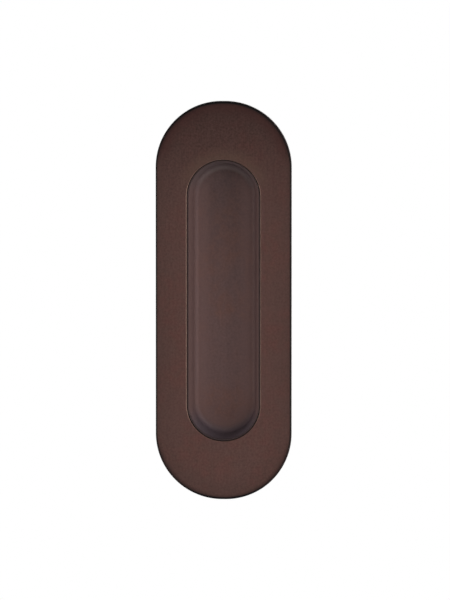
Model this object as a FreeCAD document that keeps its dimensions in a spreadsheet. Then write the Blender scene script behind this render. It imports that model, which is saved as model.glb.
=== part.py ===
import FreeCAD, Part
import math
import os
import Sketcher

# Pocket door pull: a flush pull for a sliding door.
# A cast body, face plate and tub in one, fills the mortise in the door. Two countersunk wood
# screws hold it through the tub's floor. A thin drawn finger cup is pressed in over the screws
# and hides them, and a dimple in each long wall clicks into a slot of the tub.
# Frame: millimetres, +Z up along the length, X across the width, the front looks along -Y.
# The origin is the middle of the plate's back, which lies on the face of the door.

# Driving dimensions, each written once.
DIMENSIONS = {
    # Face plate
    "plate_length": 150.0,
    "plate_width": 51.0,
    "plate_thickness": 2.5,
    "plate_end_flat": 1.4,  # short straight between the two arcs of each end
    "plate_edge_radius": 0.6,  # eased outer edge of the front
    # Recess
    "opening_length": 106.2,
    "opening_width": 27.8,
    "opening_edge_bevel": 0.3,  # eased edge of the plate round the cup
    "recess_depth": 9.5,  # from the plate's front to the cup's floor
    "wall_draft": 11.0,  # degrees, the same on cup and tub, so that they nest
    # Finger cup
    "cup_sheet": 0.5,
    "cup_gap": 0.15,  # the seam between cup and body
    "cup_setback": 0.2,  # the rim stands this far behind the plate's front
    "cup_floor_radius": 2.0,  # inside, where the wall turns into the floor
    "cup_rim_bevel": 0.15,
    # Tub behind the plate
    "tub_wall": 1.8,
    "tub_floor": 3.0,
    "tub_back_bevel": 3.0,
    "tub_root_bevel": 0.8,  # where the tub leaves the back of the plate
    # Dimples of the cup, and the slots that they click into
    "dimple_depth": 4.6,  # from the plate's front to the middle of the dimples
    "dimple_height": 0.3,
    "dimple_mouth": 1.4,  # across a dimple where it leaves the cup's inner wall
    "slot_depth": 0.3,
    "slot_clearance": 0.1,  # all round a dimple
    # Wood screws
    "screw_end_distance": 18.1,  # from the opening's end to the middle of the screw
    "screw_length": 10.0,
    "screw_head_diameter": 6.8,
    "screw_head_angle": 90.0,  # degrees
    "screw_head_land": 0.25,  # thin cylindrical rim of the head
    "screw_head_setback": 0.3,  # below the tub's floor, so that the cup never rests on it
    "screw_neck_diameter": 3.0,
    "screw_thread_diameter": 3.5,
    "screw_point_length": 2.6,
    "screw_tip_diameter": 0.3,
    "screw_hole_clearance": 0.25,  # radial, hole to thread
    "screw_seat_clearance": 0.05,  # radial, countersink to head
    "cross_length": 4.0,
    "cross_width": 1.1,
    "cross_depth": 1.5,
    "cross_draft": 12.0,  # degrees
}

# Sizes that follow from the driving ones.
DERIVED = {
    "draft_slope": "tan(Dimensions.wall_draft)",
    "wall_stretch": "1 / cos(Dimensions.wall_draft)",
    "plate_end_radius": "(Dimensions.plate_width - Dimensions.plate_end_flat) / 2",
    # The tub's inside and outside
    "cavity_depth": "Dimensions.recess_depth + Dimensions.cup_sheet",
    "floor_place": "cavity_depth - Dimensions.plate_thickness",
    "tub_depth": "floor_place + Dimensions.tub_floor",
    "tub_side": "Dimensions.tub_wall * wall_stretch - Dimensions.plate_thickness * draft_slope",
    "tub_width": "Dimensions.opening_width + 2 * tub_side",
    "tub_length": "Dimensions.opening_length + 2 * tub_side",
    # The bevel of the cavity's floor keeps the seam's width at the turn of the cup's floor
    "cup_back_radius": "Dimensions.cup_floor_radius + Dimensions.cup_sheet",
    "half_corner": "(90 + Dimensions.wall_draft) / 2",
    "turn_reach": "cup_back_radius * (1 / sin(half_corner) - 1)",
    "cavity_floor_bevel": "(turn_reach - Dimensions.cup_gap) / cos(half_corner)",
    # The cup's rim, outside and inside
    "rim_inset": "Dimensions.cup_gap + Dimensions.cup_setback * draft_slope",
    "rim_width": "Dimensions.opening_width - 2 * rim_inset",
    "rim_length": "Dimensions.opening_length - 2 * rim_inset",
    "rim_place": "Dimensions.cup_setback - Dimensions.plate_thickness",
    "mouth_width": "rim_width - 2 * Dimensions.cup_sheet * wall_stretch",
    "mouth_length": "rim_length - 2 * Dimensions.cup_sheet * wall_stretch",
    "cup_height": "cavity_depth - Dimensions.cup_setback",
    "cup_inner_height": "Dimensions.recess_depth - Dimensions.cup_setback",
    # The dimples: dent and bump have sides at 45 degrees, the sheet's thickness apart.
    # Their sizes across the wall start at its inner face.
    "dimple_place": "Dimensions.dimple_depth - Dimensions.plate_thickness",
    "dimple_drop": "Dimensions.dimple_depth - Dimensions.cup_setback",
    "dimple_wall": "mouth_width / 2 - dimple_drop * draft_slope",
    "dent_radius": "Dimensions.dimple_mouth / 2 - Dimensions.dimple_height",
    "dent_foot_radius": "Dimensions.dimple_mouth / 2 + Dimensions.dimple_height",
    "bump_top": "Dimensions.cup_sheet * wall_stretch + Dimensions.dimple_height",
    "bump_foot": "Dimensions.cup_sheet / 2",
    "bump_radius": "dent_radius + (sqrt(2) - 1) * Dimensions.cup_sheet",
    "bump_foot_radius": "bump_radius + bump_top - bump_foot",
    # The slots, as far apart as the cavity is wide at that depth, and a bit deeper
    "slot_side": "bump_radius + Dimensions.dimple_height + Dimensions.slot_clearance",
    "slot_wall": "Dimensions.opening_width / 2 - Dimensions.dimple_depth * draft_slope",
    "slot_reach": "slot_wall + Dimensions.slot_depth",
    # The screws, with their holes and seats
    "screw_spacing": "Dimensions.opening_length - 2 * Dimensions.screw_end_distance",
    "head_slope": "tan(Dimensions.screw_head_angle / 2)",
    "hole_diameter": "Dimensions.screw_thread_diameter + 2 * Dimensions.screw_hole_clearance",
    "seat_depth": "Dimensions.screw_head_setback + Dimensions.screw_head_land",
    "seat_side": "seat_depth * head_slope + Dimensions.screw_seat_clearance",
    "seat_diameter": "Dimensions.screw_head_diameter + 2 * seat_side",
    "screw_place": "floor_place + Dimensions.screw_head_setback",
    "head_narrowing": "(Dimensions.screw_head_diameter - Dimensions.screw_neck_diameter) / 2",
    "head_height": "Dimensions.screw_head_land + head_narrowing / head_slope",
    "head_radius": "Dimensions.screw_head_diameter / 2",
    "neck_radius": "Dimensions.screw_neck_diameter / 2",
    "thread_radius": "Dimensions.screw_thread_diameter / 2",
    "tip_radius": "Dimensions.screw_tip_diameter / 2",
    "thread_start": "tub_depth - screw_place",
    "thread_end": "Dimensions.screw_length - Dimensions.screw_point_length",
    "cross_reach": "Dimensions.cross_length / 2",
    "cross_side": "Dimensions.cross_width / 2",
}

# How a sketch's constraints number the points of a line or arc, and the sketch's own axes.
START, END, MIDDLE = range(1, 4)
LEVEL_AXIS, UPRIGHT_AXIS = range(-1, -3, -1)
ORIGIN = LEVEL_AXIS

# Two places closer than this are the same place.
TOUCHING = 1e-5

doc = FreeCAD.newDocument("PocketDoorPull")


def fill_sheet(name, values):
    """Makes a spreadsheet with a named value in each row."""
    sheet = doc.addObject("Spreadsheet::Sheet", name)
    for row, (alias, value) in enumerate(values.items(), start=1):
        sheet.set(f"A{row}", alias)
        sheet.set(f"B{row}", str(value))
        sheet.setAlias(f"B{row}", alias)
    doc.recompute()
    return sheet


dimensions = fill_sheet("Dimensions", DIMENSIONS)
fill_sheet("Derived", {alias: f"={formula}" for alias, formula in DERIVED.items()})


def size(expression):
    """The present value of an expression on the sheets."""
    return float(dimensions.evalExpression(expression))


def new_body(label):
    body = doc.addObject("PartDesign::Body", label)
    body.Label = label
    return body


def origin_item(body, role):
    return next(item for item in body.Origin.OriginFeatures if item.Role == role)


def new_sketch(body, name, role, x="0", y="0", z="0"):
    """Attaches a sketch to an origin plane of its own body, moved along the sketch's own axes."""
    sketch = body.newObject("Sketcher::SketchObject", name)
    sketch.AttachmentSupport = [(origin_item(body, role), "")]
    sketch.MapMode = "FlatFace"
    for axis, expression in (("x", x), ("y", y), ("z", z)):
        sketch.setExpression(f".AttachmentOffset.Base.{axis}", expression)
    doc.recompute()
    return sketch


def constrain(sketch, kind, *where, follows=None, name=None):
    """Adds a constraint, which is a named dimension where it follows an expression."""
    if follows is None:
        sketch.addConstraint(Sketcher.Constraint(kind, *where))
        return
    index = sketch.addConstraint(Sketcher.Constraint(kind, *where, size(follows)))
    sketch.renameConstraint(index, name)
    sketch.setExpression(f"Constraints.{name}", follows)


def line(x0, y0, x1, y1):
    return Part.LineSegment(FreeCAD.Vector(x0, y0, 0), FreeCAD.Vector(x1, y1, 0))


def arc(x, y, radius, start, end):
    """An arc about x, y between two angles in degrees."""
    circle = Part.Circle(FreeCAD.Vector(x, y, 0), FreeCAD.Vector(0, 0, 1), radius)
    return Part.ArcOfCircle(circle, math.radians(start), math.radians(end))


def draw_obround(sketch, width, length):
    """Draws two straight sides and two half-round ends about the sketch's origin."""
    radius = size(f"{width} / 2")
    middle = size(f"({length} - {width}) / 2")
    sketch.addGeometry(line(radius, -middle, radius, middle))
    sketch.addGeometry(arc(0, middle, radius, 0, 180))
    sketch.addGeometry(line(-radius, middle, -radius, -middle))
    sketch.addGeometry(arc(0, -middle, radius, 180, 360))
    for side in range(4):
        constrain(sketch, "Tangent", side, END, (side + 1) % 4, START)
    constrain(sketch, "Vertical", 0)
    constrain(sketch, "PointOnObject", 1, MIDDLE, UPRIGHT_AXIS)
    constrain(sketch, "Symmetric", 1, MIDDLE, 3, MIDDLE, ORIGIN, START)
    constrain(sketch, "Radius", 1, follows=f"{width} / 2", name="end_radius")
    constrain(sketch, "DistanceY", 3, MIDDLE, 1, MIDDLE, follows=f"{length} - {width}", name="side_length")


def draw_plate_outline(sketch):
    """Draws straight sides, and ends of two arcs with a short flat between them."""
    radius = size("Derived.plate_end_radius")
    half_width = size("Dimensions.plate_width / 2")
    half_length = size("Dimensions.plate_length / 2")
    x = half_width - radius
    y = half_length - radius
    sketch.addGeometry(line(half_width, -y, half_width, y))
    sketch.addGeometry(arc(x, y, radius, 0, 90))
    sketch.addGeometry(line(x, half_length, -x, half_length))
    sketch.addGeometry(arc(-x, y, radius, 90, 180))
    sketch.addGeometry(line(-half_width, y, -half_width, -y))
    sketch.addGeometry(arc(-x, -y, radius, 180, 270))
    sketch.addGeometry(line(-x, -half_length, x, -half_length))
    sketch.addGeometry(arc(x, -y, radius, 270, 360))
    for side in range(8):
        constrain(sketch, "Tangent", side, END, (side + 1) % 8, START)
    for side in (0, 4):
        constrain(sketch, "Vertical", side)
    for end in (2, 6):
        constrain(sketch, "Horizontal", end)
    for corner in (3, 5, 7):
        constrain(sketch, "Equal", 1, corner)
    constrain(sketch, "Symmetric", 1, MIDDLE, 5, MIDDLE, ORIGIN, START)
    constrain(sketch, "Radius", 1, follows="Derived.plate_end_radius", name="end_radius")
    constrain(sketch, "DistanceX", 3, MIDDLE, 1, MIDDLE, follows="Dimensions.plate_end_flat", name="end_flat")
    side_length = "Dimensions.plate_length - 2 * Derived.plate_end_radius"
    constrain(sketch, "DistanceY", 7, MIDDLE, 1, MIDDLE, follows=side_length, name="side_length")


def draw_corners(sketch, corners):
    """Draws a closed outline of straight lines through corners given as pairs of expressions."""
    places = [(size(x), size(y)) for x, y in corners]
    for start, end in zip(places, places[1:] + places[:1]):
        sketch.addGeometry(line(*start, *end))
    for number, (x, y) in enumerate(corners):
        constrain(sketch, "Coincident", (number - 1) % len(corners), END, number, START)
        if x == "0":
            constrain(sketch, "PointOnObject", number, START, UPRIGHT_AXIS)
        else:
            constrain(sketch, "DistanceX", ORIGIN, START, number, START, follows=x, name=f"across_{number}")
        if y == "0":
            constrain(sketch, "PointOnObject", number, START, LEVEL_AXIS)
        else:
            constrain(sketch, "DistanceY", ORIGIN, START, number, START, follows=y, name=f"up_{number}")


def add_feature(body, kind, name, **expressions):
    """Adds a feature to a body, each given property following its expression."""
    feature = body.newObject(f"PartDesign::{kind}", name)
    for prop, expression in expressions.items():
        feature.setExpression(prop, expression)
    return feature


def extrude(body, kind, sketch, name, length, draft="0", towards_back=False):
    """Pads or pockets a sketch. A drafted one narrows as it goes."""
    feature = add_feature(body, kind, name, Length=length, TaperAngle=f"-({draft})")
    feature.Profile = sketch
    feature.Reversed = towards_back
    doc.recompute()
    return feature


def turn(body, kind, sketch, name):
    """Turns a sketch once round its own level axis, adding or cutting."""
    feature = add_feature(body, kind, name)
    feature.Profile = sketch
    feature.ReferenceAxis = (sketch, ["H_Axis"])
    feature.Angle = 360
    doc.recompute()
    return feature


def edges_at(feature, y, width, length):
    """The feature's edges in the plane at y that lie within a width and a length."""
    place = size(y)
    half_width = size(width) / 2 + TOUCHING
    half_length = size(length) / 2 + TOUCHING
    names = []
    for number, edge in enumerate(feature.Shape.Edges, start=1):
        box = edge.BoundBox
        level = abs(box.YMin - place) < TOUCHING and abs(box.YMax - place) < TOUCHING
        across = max(abs(box.XMin), abs(box.XMax))
        along = max(abs(box.ZMin), abs(box.ZMax))
        if level and across < half_width and along < half_length:
            names.append(f"Edge{number}")
    return names


def ease_edges(body, base, name, y, width, length, **amount):
    """Rounds by a Radius or bevels by a Size the base's edges in one plane."""
    kind = "Fillet" if "Radius" in amount else "Chamfer"
    feature = add_feature(body, kind, name, **amount)
    feature.Base = (base, edges_at(base, y, width, length))
    doc.recompute()
    return feature


def build_pull_body():
    """The cast face plate with its tub."""
    body = new_body("pull_body")
    front = "-Dimensions.plate_thickness"
    plate_size = ("Dimensions.plate_width", "Dimensions.plate_length")
    opening_size = ("Dimensions.opening_width", "Dimensions.opening_length")
    tub_size = ("Derived.tub_width", "Derived.tub_length")

    outline = new_sketch(body, "plate_outline", "XZ_Plane")
    draw_plate_outline(outline)
    plate = extrude(body, "Pad", outline, "face_plate", "Dimensions.plate_thickness")
    ease_edges(body, plate, "plate_edge", front, *plate_size, Radius="Dimensions.plate_edge_radius")

    tub_outline = new_sketch(body, "tub_outline", "XZ_Plane")
    draw_obround(tub_outline, *tub_size)
    draft = "Dimensions.wall_draft"
    tub = extrude(body, "Pad", tub_outline, "tub", "Derived.tub_depth", draft, towards_back=True)
    root = ease_edges(body, tub, "tub_root", "0", *tub_size, Size="Dimensions.tub_root_bevel")
    back = ("tub_back_edge", "Derived.tub_depth")
    ease_edges(body, root, *back, *tub_size, Size="Dimensions.tub_back_bevel")

    opening = new_sketch(body, "opening_outline", "XZ_Plane", z="Dimensions.plate_thickness")
    draw_obround(opening, *opening_size)
    cavity = extrude(body, "Pocket", opening, "cavity", "Derived.cavity_depth", draft)
    floor_edge = ("cavity_floor_edge", "Derived.floor_place")
    floor = ease_edges(body, cavity, *floor_edge, *opening_size, Size="Derived.cavity_floor_bevel")
    ease_edges(body, floor, "opening_edge", front, *opening_size, Size="Dimensions.opening_edge_bevel")

    slots = new_sketch(body, "slots_outline", "XZ_Plane", z="Derived.slot_side - Derived.dimple_place")
    reach, side = "Derived.slot_reach", "Derived.slot_side"
    draw_corners(slots, [(reach, side), (f"-{reach}", side), (f"-{reach}", f"-{side}"), (reach, f"-{side}")])
    extrude(body, "Pocket", slots, "dimple_slots", "2 * Derived.slot_side")

    centres = new_sketch(body, "screw_centres", "XZ_Plane", z="-Derived.floor_place")
    for side in (1, -1):
        place = FreeCAD.Vector(0, side * size("Derived.screw_spacing / 2"), 0)
        centres.addGeometry(Part.Circle(place, FreeCAD.Vector(0, 0, 1), size("Derived.hole_diameter / 2")))
    constrain(centres, "Equal", 0, 1)
    constrain(centres, "PointOnObject", 0, MIDDLE, UPRIGHT_AXIS)
    constrain(centres, "Symmetric", 0, MIDDLE, 1, MIDDLE, ORIGIN, START)
    constrain(centres, "Radius", 0, follows="Derived.hole_diameter / 2", name="hole_radius")
    constrain(centres, "DistanceY", 1, MIDDLE, 0, MIDDLE, follows="Derived.screw_spacing", name="spacing")
    doc.recompute()
    holes = body.newObject("PartDesign::Hole", "screw_holes")
    holes.Profile = centres
    holes.DepthType = "ThroughAll"
    holes.HoleCutType = "Countersink"
    holes.HoleCutCustomValues = True
    holes.setExpression("Diameter", "Derived.hole_diameter")
    holes.setExpression("HoleCutDiameter", "Derived.seat_diameter")
    holes.setExpression("HoleCutCountersinkAngle", "Dimensions.screw_head_angle")
    doc.recompute()
    return body


def build_finger_cup():
    """The thin drawn pan: drafted walls, a round turn into the floor, two dimples."""
    body = new_body("finger_cup")
    rim_size = ("Derived.rim_width", "Derived.rim_length")
    mouth_size = ("Derived.mouth_width", "Derived.mouth_length")
    draft = "Dimensions.wall_draft"

    rim = new_sketch(body, "rim_outline", "XZ_Plane", z="-Derived.rim_place")
    draw_obround(rim, *rim_size)
    blank = extrude(body, "Pad", rim, "cup_outside", "Derived.cup_height", draft, towards_back=True)
    mouth = new_sketch(body, "mouth_outline", "XZ_Plane", z="-Derived.rim_place")
    draw_obround(mouth, *mouth_size)
    hollow = extrude(body, "Pocket", mouth, "cup_inside", "Derived.cup_inner_height", draft)
    inside = ("cup_floor_edge", "Derived.floor_place - Dimensions.cup_sheet")
    floor = ease_edges(body, hollow, *inside, *mouth_size, Radius="Dimensions.cup_floor_radius")
    outside = ("cup_back_edge", "Derived.floor_place")
    back = ease_edges(body, floor, *outside, *rim_size, Radius="Derived.cup_back_radius")
    rim_edges = ("cup_rim_edges", "Derived.rim_place")
    ease_edges(body, back, *rim_edges, *rim_size, Size="Dimensions.cup_rim_bevel")

    place = {"x": "Derived.dimple_wall", "y": "Derived.dimple_place"}
    bump_section = new_sketch(body, "bump_section", "XY_Plane", **place)
    bump_corners = [
        ("Derived.bump_foot", "0"),
        ("Derived.bump_top", "0"),
        ("Derived.bump_top", "Derived.bump_radius"),
        ("Derived.bump_foot", "Derived.bump_foot_radius"),
    ]
    draw_corners(bump_section, bump_corners)
    bump = turn(body, "Revolution", bump_section, "dimple_bump")
    dent_section = new_sketch(body, "dent_section", "XY_Plane", **place)
    dent_corners = [
        ("-Dimensions.dimple_height", "0"),
        ("Dimensions.dimple_height", "0"),
        ("Dimensions.dimple_height", "Derived.dent_radius"),
        ("-Dimensions.dimple_height", "Derived.dent_foot_radius"),
    ]
    draw_corners(dent_section, dent_corners)
    dent = turn(body, "Groove", dent_section, "dimple_dent")

    dimples = body.newObject("PartDesign::Mirrored", "both_dimples")
    dimples.Originals = [bump, dent]
    dimples.MirrorPlane = (origin_item(body, "YZ_Plane"), [""])
    body.Tip = dimples
    doc.recompute()
    return body


def build_wood_screw(label, height):
    """A countersunk screw, pointing at the back, with the middle of its head at this height."""
    body = new_body(label)
    body.setExpression(".Placement.Base.y", "Derived.screw_place")
    body.setExpression(".Placement.Base.z", height)

    section = new_sketch(body, f"{label}_section", "YZ_Plane")
    corners = [
        ("0", "0"),
        ("Dimensions.screw_length", "0"),
        ("Dimensions.screw_length", "Derived.tip_radius"),
        ("Derived.thread_end", "Derived.thread_radius"),
        ("Derived.thread_start", "Derived.thread_radius"),
        ("Derived.thread_start", "Derived.neck_radius"),
        ("Derived.head_height", "Derived.neck_radius"),
        ("Dimensions.screw_head_land", "Derived.head_radius"),
        ("0", "Derived.head_radius"),
    ]
    draw_corners(section, corners)
    turn(body, "Revolution", section, f"{label}_blank")

    reach, side = "Derived.cross_reach", "Derived.cross_side"
    quarter = [(reach, side), (side, side), (side, reach)]
    cross = []
    for x_sign, y_sign, order in (("", "", 1), ("-", "", -1), ("-", "-", 1), ("", "-", -1)):
        cross += [(x_sign + x, y_sign + y) for x, y in quarter[::order]]
    outline = new_sketch(body, f"{label}_cross", "XZ_Plane")
    draw_corners(outline, cross)
    extrude(body, "Pocket", outline, f"{label}_recess", "Dimensions.cross_depth", "Dimensions.cross_draft")
    return body


pieces = [
    build_pull_body(),
    build_finger_cup(),
    build_wood_screw("upper_wood_screw", "Derived.screw_spacing / 2"),
    build_wood_screw("lower_wood_screw", "-Derived.screw_spacing / 2"),
]

doc.recompute()
failed = [item.Name for item in doc.Objects if {"Invalid", "Error"} & set(item.State)]
failed += [piece.Label for piece in pieces if piece.Shape.isNull() or not piece.Shape.isValid()]
if failed:
    raise RuntimeError(f"not built: {', '.join(failed)}")

os.makedirs("parts", exist_ok=True)
for piece in pieces:
    piece.Shape.exportStep(f"parts/{piece.Label}.step")
    print(f"{piece.Label}: {len(piece.Shape.Solids)} solid, {piece.Shape.Volume:.1f} mm3")
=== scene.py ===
"""Looks of a pocket door pull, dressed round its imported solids.

The pull body, the finger cup and the two wood screws are swept and turned anew at the sizes of
their solids, with rolled edges, pressed dimples and cut threads, and each gets its own finish.
Lengths are in metres: X runs across, Z up the pull, and its front looks along -Y.
"""

import logging
import math
from collections.abc import Callable, Iterable, Sequence
from dataclasses import dataclass, field
from enum import IntEnum
from typing import Any

import bmesh
import bpy
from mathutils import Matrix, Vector
from mathutils.geometry import tessellate_polygon

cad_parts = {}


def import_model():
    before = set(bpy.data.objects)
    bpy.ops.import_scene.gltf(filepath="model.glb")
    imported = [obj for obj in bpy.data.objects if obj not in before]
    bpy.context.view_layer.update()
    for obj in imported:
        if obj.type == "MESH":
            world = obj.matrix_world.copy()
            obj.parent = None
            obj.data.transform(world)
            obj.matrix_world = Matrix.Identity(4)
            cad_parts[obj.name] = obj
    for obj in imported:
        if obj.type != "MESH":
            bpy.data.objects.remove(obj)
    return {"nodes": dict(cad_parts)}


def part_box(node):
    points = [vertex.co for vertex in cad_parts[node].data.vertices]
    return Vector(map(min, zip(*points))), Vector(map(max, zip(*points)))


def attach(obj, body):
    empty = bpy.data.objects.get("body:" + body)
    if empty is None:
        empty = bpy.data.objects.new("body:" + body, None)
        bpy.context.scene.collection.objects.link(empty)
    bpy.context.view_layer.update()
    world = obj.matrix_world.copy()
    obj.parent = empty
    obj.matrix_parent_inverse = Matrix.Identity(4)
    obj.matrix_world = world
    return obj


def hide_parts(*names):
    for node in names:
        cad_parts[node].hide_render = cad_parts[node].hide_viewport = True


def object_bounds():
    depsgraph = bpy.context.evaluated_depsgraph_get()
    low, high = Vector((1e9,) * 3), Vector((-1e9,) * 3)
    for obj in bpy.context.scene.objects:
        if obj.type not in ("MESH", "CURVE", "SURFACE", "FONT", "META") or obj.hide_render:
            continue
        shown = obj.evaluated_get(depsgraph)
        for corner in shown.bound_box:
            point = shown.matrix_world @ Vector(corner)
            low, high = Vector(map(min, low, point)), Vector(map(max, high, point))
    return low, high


frame: dict[str, Any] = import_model()
CAD_BOX: tuple[Vector, Vector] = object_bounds()

log = logging.getLogger("door_pull")

MM = 0.001
ARC_STEPS = 36  # points along a quarter of an outline's end
SIDE_STEPS = 16  # points along half of an outline's straight side
CIRCLE_STEPS = 48  # points round a hole or a screw
DIMPLE_STEPS = 8  # rows of points over half of a dimple
SECTION_STEP = math.radians(9)  # the most that a section turns between two points
SHARP_ANGLE = math.radians(35)
SAME_PLACE = 0.0005 * MM

Colour = tuple[float, float, float]
# Painted shade: the near-black of the plate's rolled outer edge and of the seam round the cup.
EDGE_SHADE: Colour = (0.003, 0.002, 0.002)
SEAM_SHADE: Colour = (0.010, 0.006, 0.006)
WHITE = (1.0, 1.0, 1.0, 1.0)


class Skin(IntEnum):
    """Which of a piece's finishes a face wears."""

    FACE = 0
    CASTING = 1


# Shader maths


class Wire:
    """A number that runs through a material. Sums of wires and numbers add Math nodes."""

    def __init__(self, paint: "Paint", socket: bpy.types.NodeSocket) -> None:
        """Wraps an output socket of the material."""
        self.paint = paint
        self.socket = socket

    def _math(self, operation: str, first: "Wire | float", second: "Wire | float") -> "Wire":
        """The result of a Math node."""
        node = self.paint.node("ShaderNodeMath", {"operation": operation}, {0: first, 1: second})
        return Wire(self.paint, node.outputs[0])

    def __add__(self, other: "Wire | float") -> "Wire":
        """This plus the other."""
        return self._math("ADD", self, other)

    def __radd__(self, other: float) -> "Wire":
        """The other plus this."""
        return self._math("ADD", other, self)

    def __sub__(self, other: "Wire | float") -> "Wire":
        """This less the other."""
        return self._math("SUBTRACT", self, other)

    def __rsub__(self, other: float) -> "Wire":
        """The other less this."""
        return self._math("SUBTRACT", other, self)

    def __mul__(self, other: "Wire | float") -> "Wire":
        """This times the other."""
        return self._math("MULTIPLY", self, other)

    def __rmul__(self, other: float) -> "Wire":
        """The other times this."""
        return self._math("MULTIPLY", other, self)

    def __pow__(self, other: float) -> "Wire":
        """This to the power of the other."""
        return self._math("POWER", self, other)

    def __abs__(self) -> "Wire":
        """This without its sign."""
        return self._math("ABSOLUTE", self, 0.0)

    def over(self, limit: float) -> "Wire":
        """How far this is over a limit, or 0."""
        return self._math("MAXIMUM", self - limit, 0.0)

    def rise(self, start: float, end: float) -> "Wire":
        """Turns this into a share that rises smoothly.

        Args:
            start: the value that gives 0.
            end: the value that gives 1, which may be the smaller of the two.

        Returns:
            The share, from 0 to 1.
        """
        settings = {"interpolation_type": "SMOOTHSTEP"}
        sockets = {"Value": self, "From Min": start, "From Max": end}
        node = self.paint.node("ShaderNodeMapRange", settings, sockets)
        return Wire(self.paint, node.outputs["Result"])


class Paint:
    """The node tree of a material or of the world."""

    def __init__(self, tree: bpy.types.NodeTree) -> None:
        """Empties the tree to start from."""
        self.tree = tree
        tree.nodes.clear()

    def node(
        self,
        kind: str,
        settings: dict[str, Any] | None = None,
        sockets: dict[str | int, Any] | None = None,
    ) -> bpy.types.Node:
        """Adds a node.

        Args:
            kind: the node's type.
            settings: its properties, which are set first.
            sockets: the value, wire or output socket of each of its inputs.

        Returns:
            The node.
        """
        node = self.tree.nodes.new(kind)
        for name, value in (settings or {}).items():
            setattr(node, name, value)
        for name, value in (sockets or {}).items():
            if isinstance(value, Wire):
                value = value.socket
            if isinstance(value, bpy.types.NodeSocket):
                self.tree.links.new(value, node.inputs[name])
            else:
                node.inputs[name].default_value = value
        return node

    def wire(self, node: bpy.types.Node, output: str | int) -> Wire:
        """The number that leaves a node's output."""
        return Wire(self, node.outputs[output])

    def axes(self, vector: bpy.types.NodeSocket) -> tuple[Wire, Wire, Wire]:
        """The three parts of a vector."""
        node = self.node("ShaderNodeSeparateXYZ", sockets={0: vector})
        return tuple(self.wire(node, axis) for axis in "XYZ")

    def stretched(self, vector: bpy.types.NodeSocket, scale: Sequence[float]) -> bpy.types.NodeSocket:
        """A vector multiplied axis by axis."""
        node = self.node("ShaderNodeVectorMath", {"operation": "MULTIPLY"}, {0: vector, 1: scale})
        return node.outputs[0]

    def noise(self, place: bpy.types.NodeSocket, size: float, detail: float = 3.0) -> Wire:
        """A pattern of clouds as wide as size, from 0 to 1 and mostly near 0.5."""
        sockets = {"Vector": place, "Scale": 1 / size, "Detail": detail}
        return self.wire(self.node("ShaderNodeTexNoise", {"noise_dimensions": "3D"}, sockets), 0)

    def blend(self, share: Wire, first: Any, second: Any) -> bpy.types.NodeSocket:
        """Mixes two colours.

        Args:
            share: how much of the second shows.
            first: a colour or the socket of one.
            second: a colour or the socket of one.

        Returns:
            The mixed colour's socket.
        """
        colours = [(*c, 1.0) if isinstance(c, tuple) else c for c in (first, second)]
        sockets = {0: share, 6: colours[0], 7: colours[1]}
        return self.node("ShaderNodeMix", {"data_type": "RGBA"}, sockets).outputs[2]


# Forms


@dataclass(frozen=True)
class Corner:
    """A corner of a section.

    Attributes:
        inset: how far inside its outline it lies.
        y: its place along Y.
        radius: how round it is.
    """

    inset: float
    y: float
    radius: float = 0.0

    def place(self) -> Vector:
        """The corner in the plane of the section."""
        return Vector((self.inset, self.y))

    def arc(self, before: "Corner", after: "Corner") -> list[Vector]:
        """Points round the corner.

        Args:
            before: the corner that the section comes from.
            after: the corner that it goes to.

        Returns:
            The points, or the corner itself where it is sharp.
        """
        if not self.radius:
            return [self.place()]
        back = (before.place() - self.place()).normalized()
        on = (after.place() - self.place()).normalized()
        half = back.angle(on) / 2
        centre = self.place() + (back + on).normalized() * self.radius / math.sin(half)
        reach = self.radius / math.tan(half)
        spokes = [self.place() + side * reach - centre for side in (back, on)]
        first, last = (math.atan2(spoke.y, spoke.x) for spoke in spokes)
        turn = math.remainder(last - first, 2 * math.pi)
        steps = math.ceil(abs(turn) / SECTION_STEP)
        angles = [first + turn * step / steps for step in range(steps + 1)]
        return [centre + self.radius * Vector((math.cos(a), math.sin(a))) for a in angles]


def section(corners: Sequence[Corner], levels: Iterable[float] = ()) -> list[Vector]:
    """Rounds a section's corners.

    Args:
        corners: the section, from one end to the other.
        levels: places along Y where its straight stretches get a point too.

    Returns:
        The points, each an inset and a place along Y.
    """
    points = [corners[0].place()]
    for before, corner, after in zip(corners, corners[1:], corners[2:]):
        points += corner.arc(before, after)
    points.append(corners[-1].place())
    full = points[:1]
    for start, end in zip(points, points[1:]):
        rise = end.y - start.y
        shares = [(level - start.y) / rise for level in levels] if abs(rise) > SAME_PLACE else []
        full += [start.lerp(end, share) for share in sorted(shares) if 0 < share < 1]
        full.append(end)
    return full


@dataclass(frozen=True)
class Outline:
    """A closed outline about the middle: straight sides, and ends of two arcs with a flat between.

    Attributes:
        width: its size along X.
        length: its size along Z.
        end_flat: the flat between the arcs of an end.
    """

    width: float
    length: float
    end_flat: float = 0.0

    @property
    def straight(self) -> float:
        """Half the length of a straight side."""
        return (self.length - self.width + self.end_flat) / 2

    def ring(self, inset: float, y: float, marks: Sequence[float]) -> list[Vector]:
        """Points round the outline or inside it.

        Args:
            inset: how far inside the outline.
            y: the ring's place along Y.
            marks: where the straight sides have points, from -1 at their lower end to 1.

        Returns:
            As many points for each outline, starting at the lower end of the right side.
        """
        radius = (self.width - self.end_flat) / 2 - inset
        flat = self.end_flat / 2
        points = [(flat + radius, self.straight * mark) for mark in marks]
        for quarter in range(4):
            across = flat if quarter in (0, 3) else -flat
            up = self.straight if quarter < 2 else -self.straight
            # Each arc leaves out the point that is the end of a straight side.
            first = 1 - quarter % 2
            for step in range(first, ARC_STEPS + first):
                angle = math.pi / 2 * (quarter + step / ARC_STEPS)
                points.append((across + radius * math.cos(angle), up + radius * math.sin(angle)))
            if quarter == 1:
                points += [(-flat - radius, self.straight * mark) for mark in reversed(marks)]
        return [Vector((x, y, z)) for x, z in points]


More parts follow.
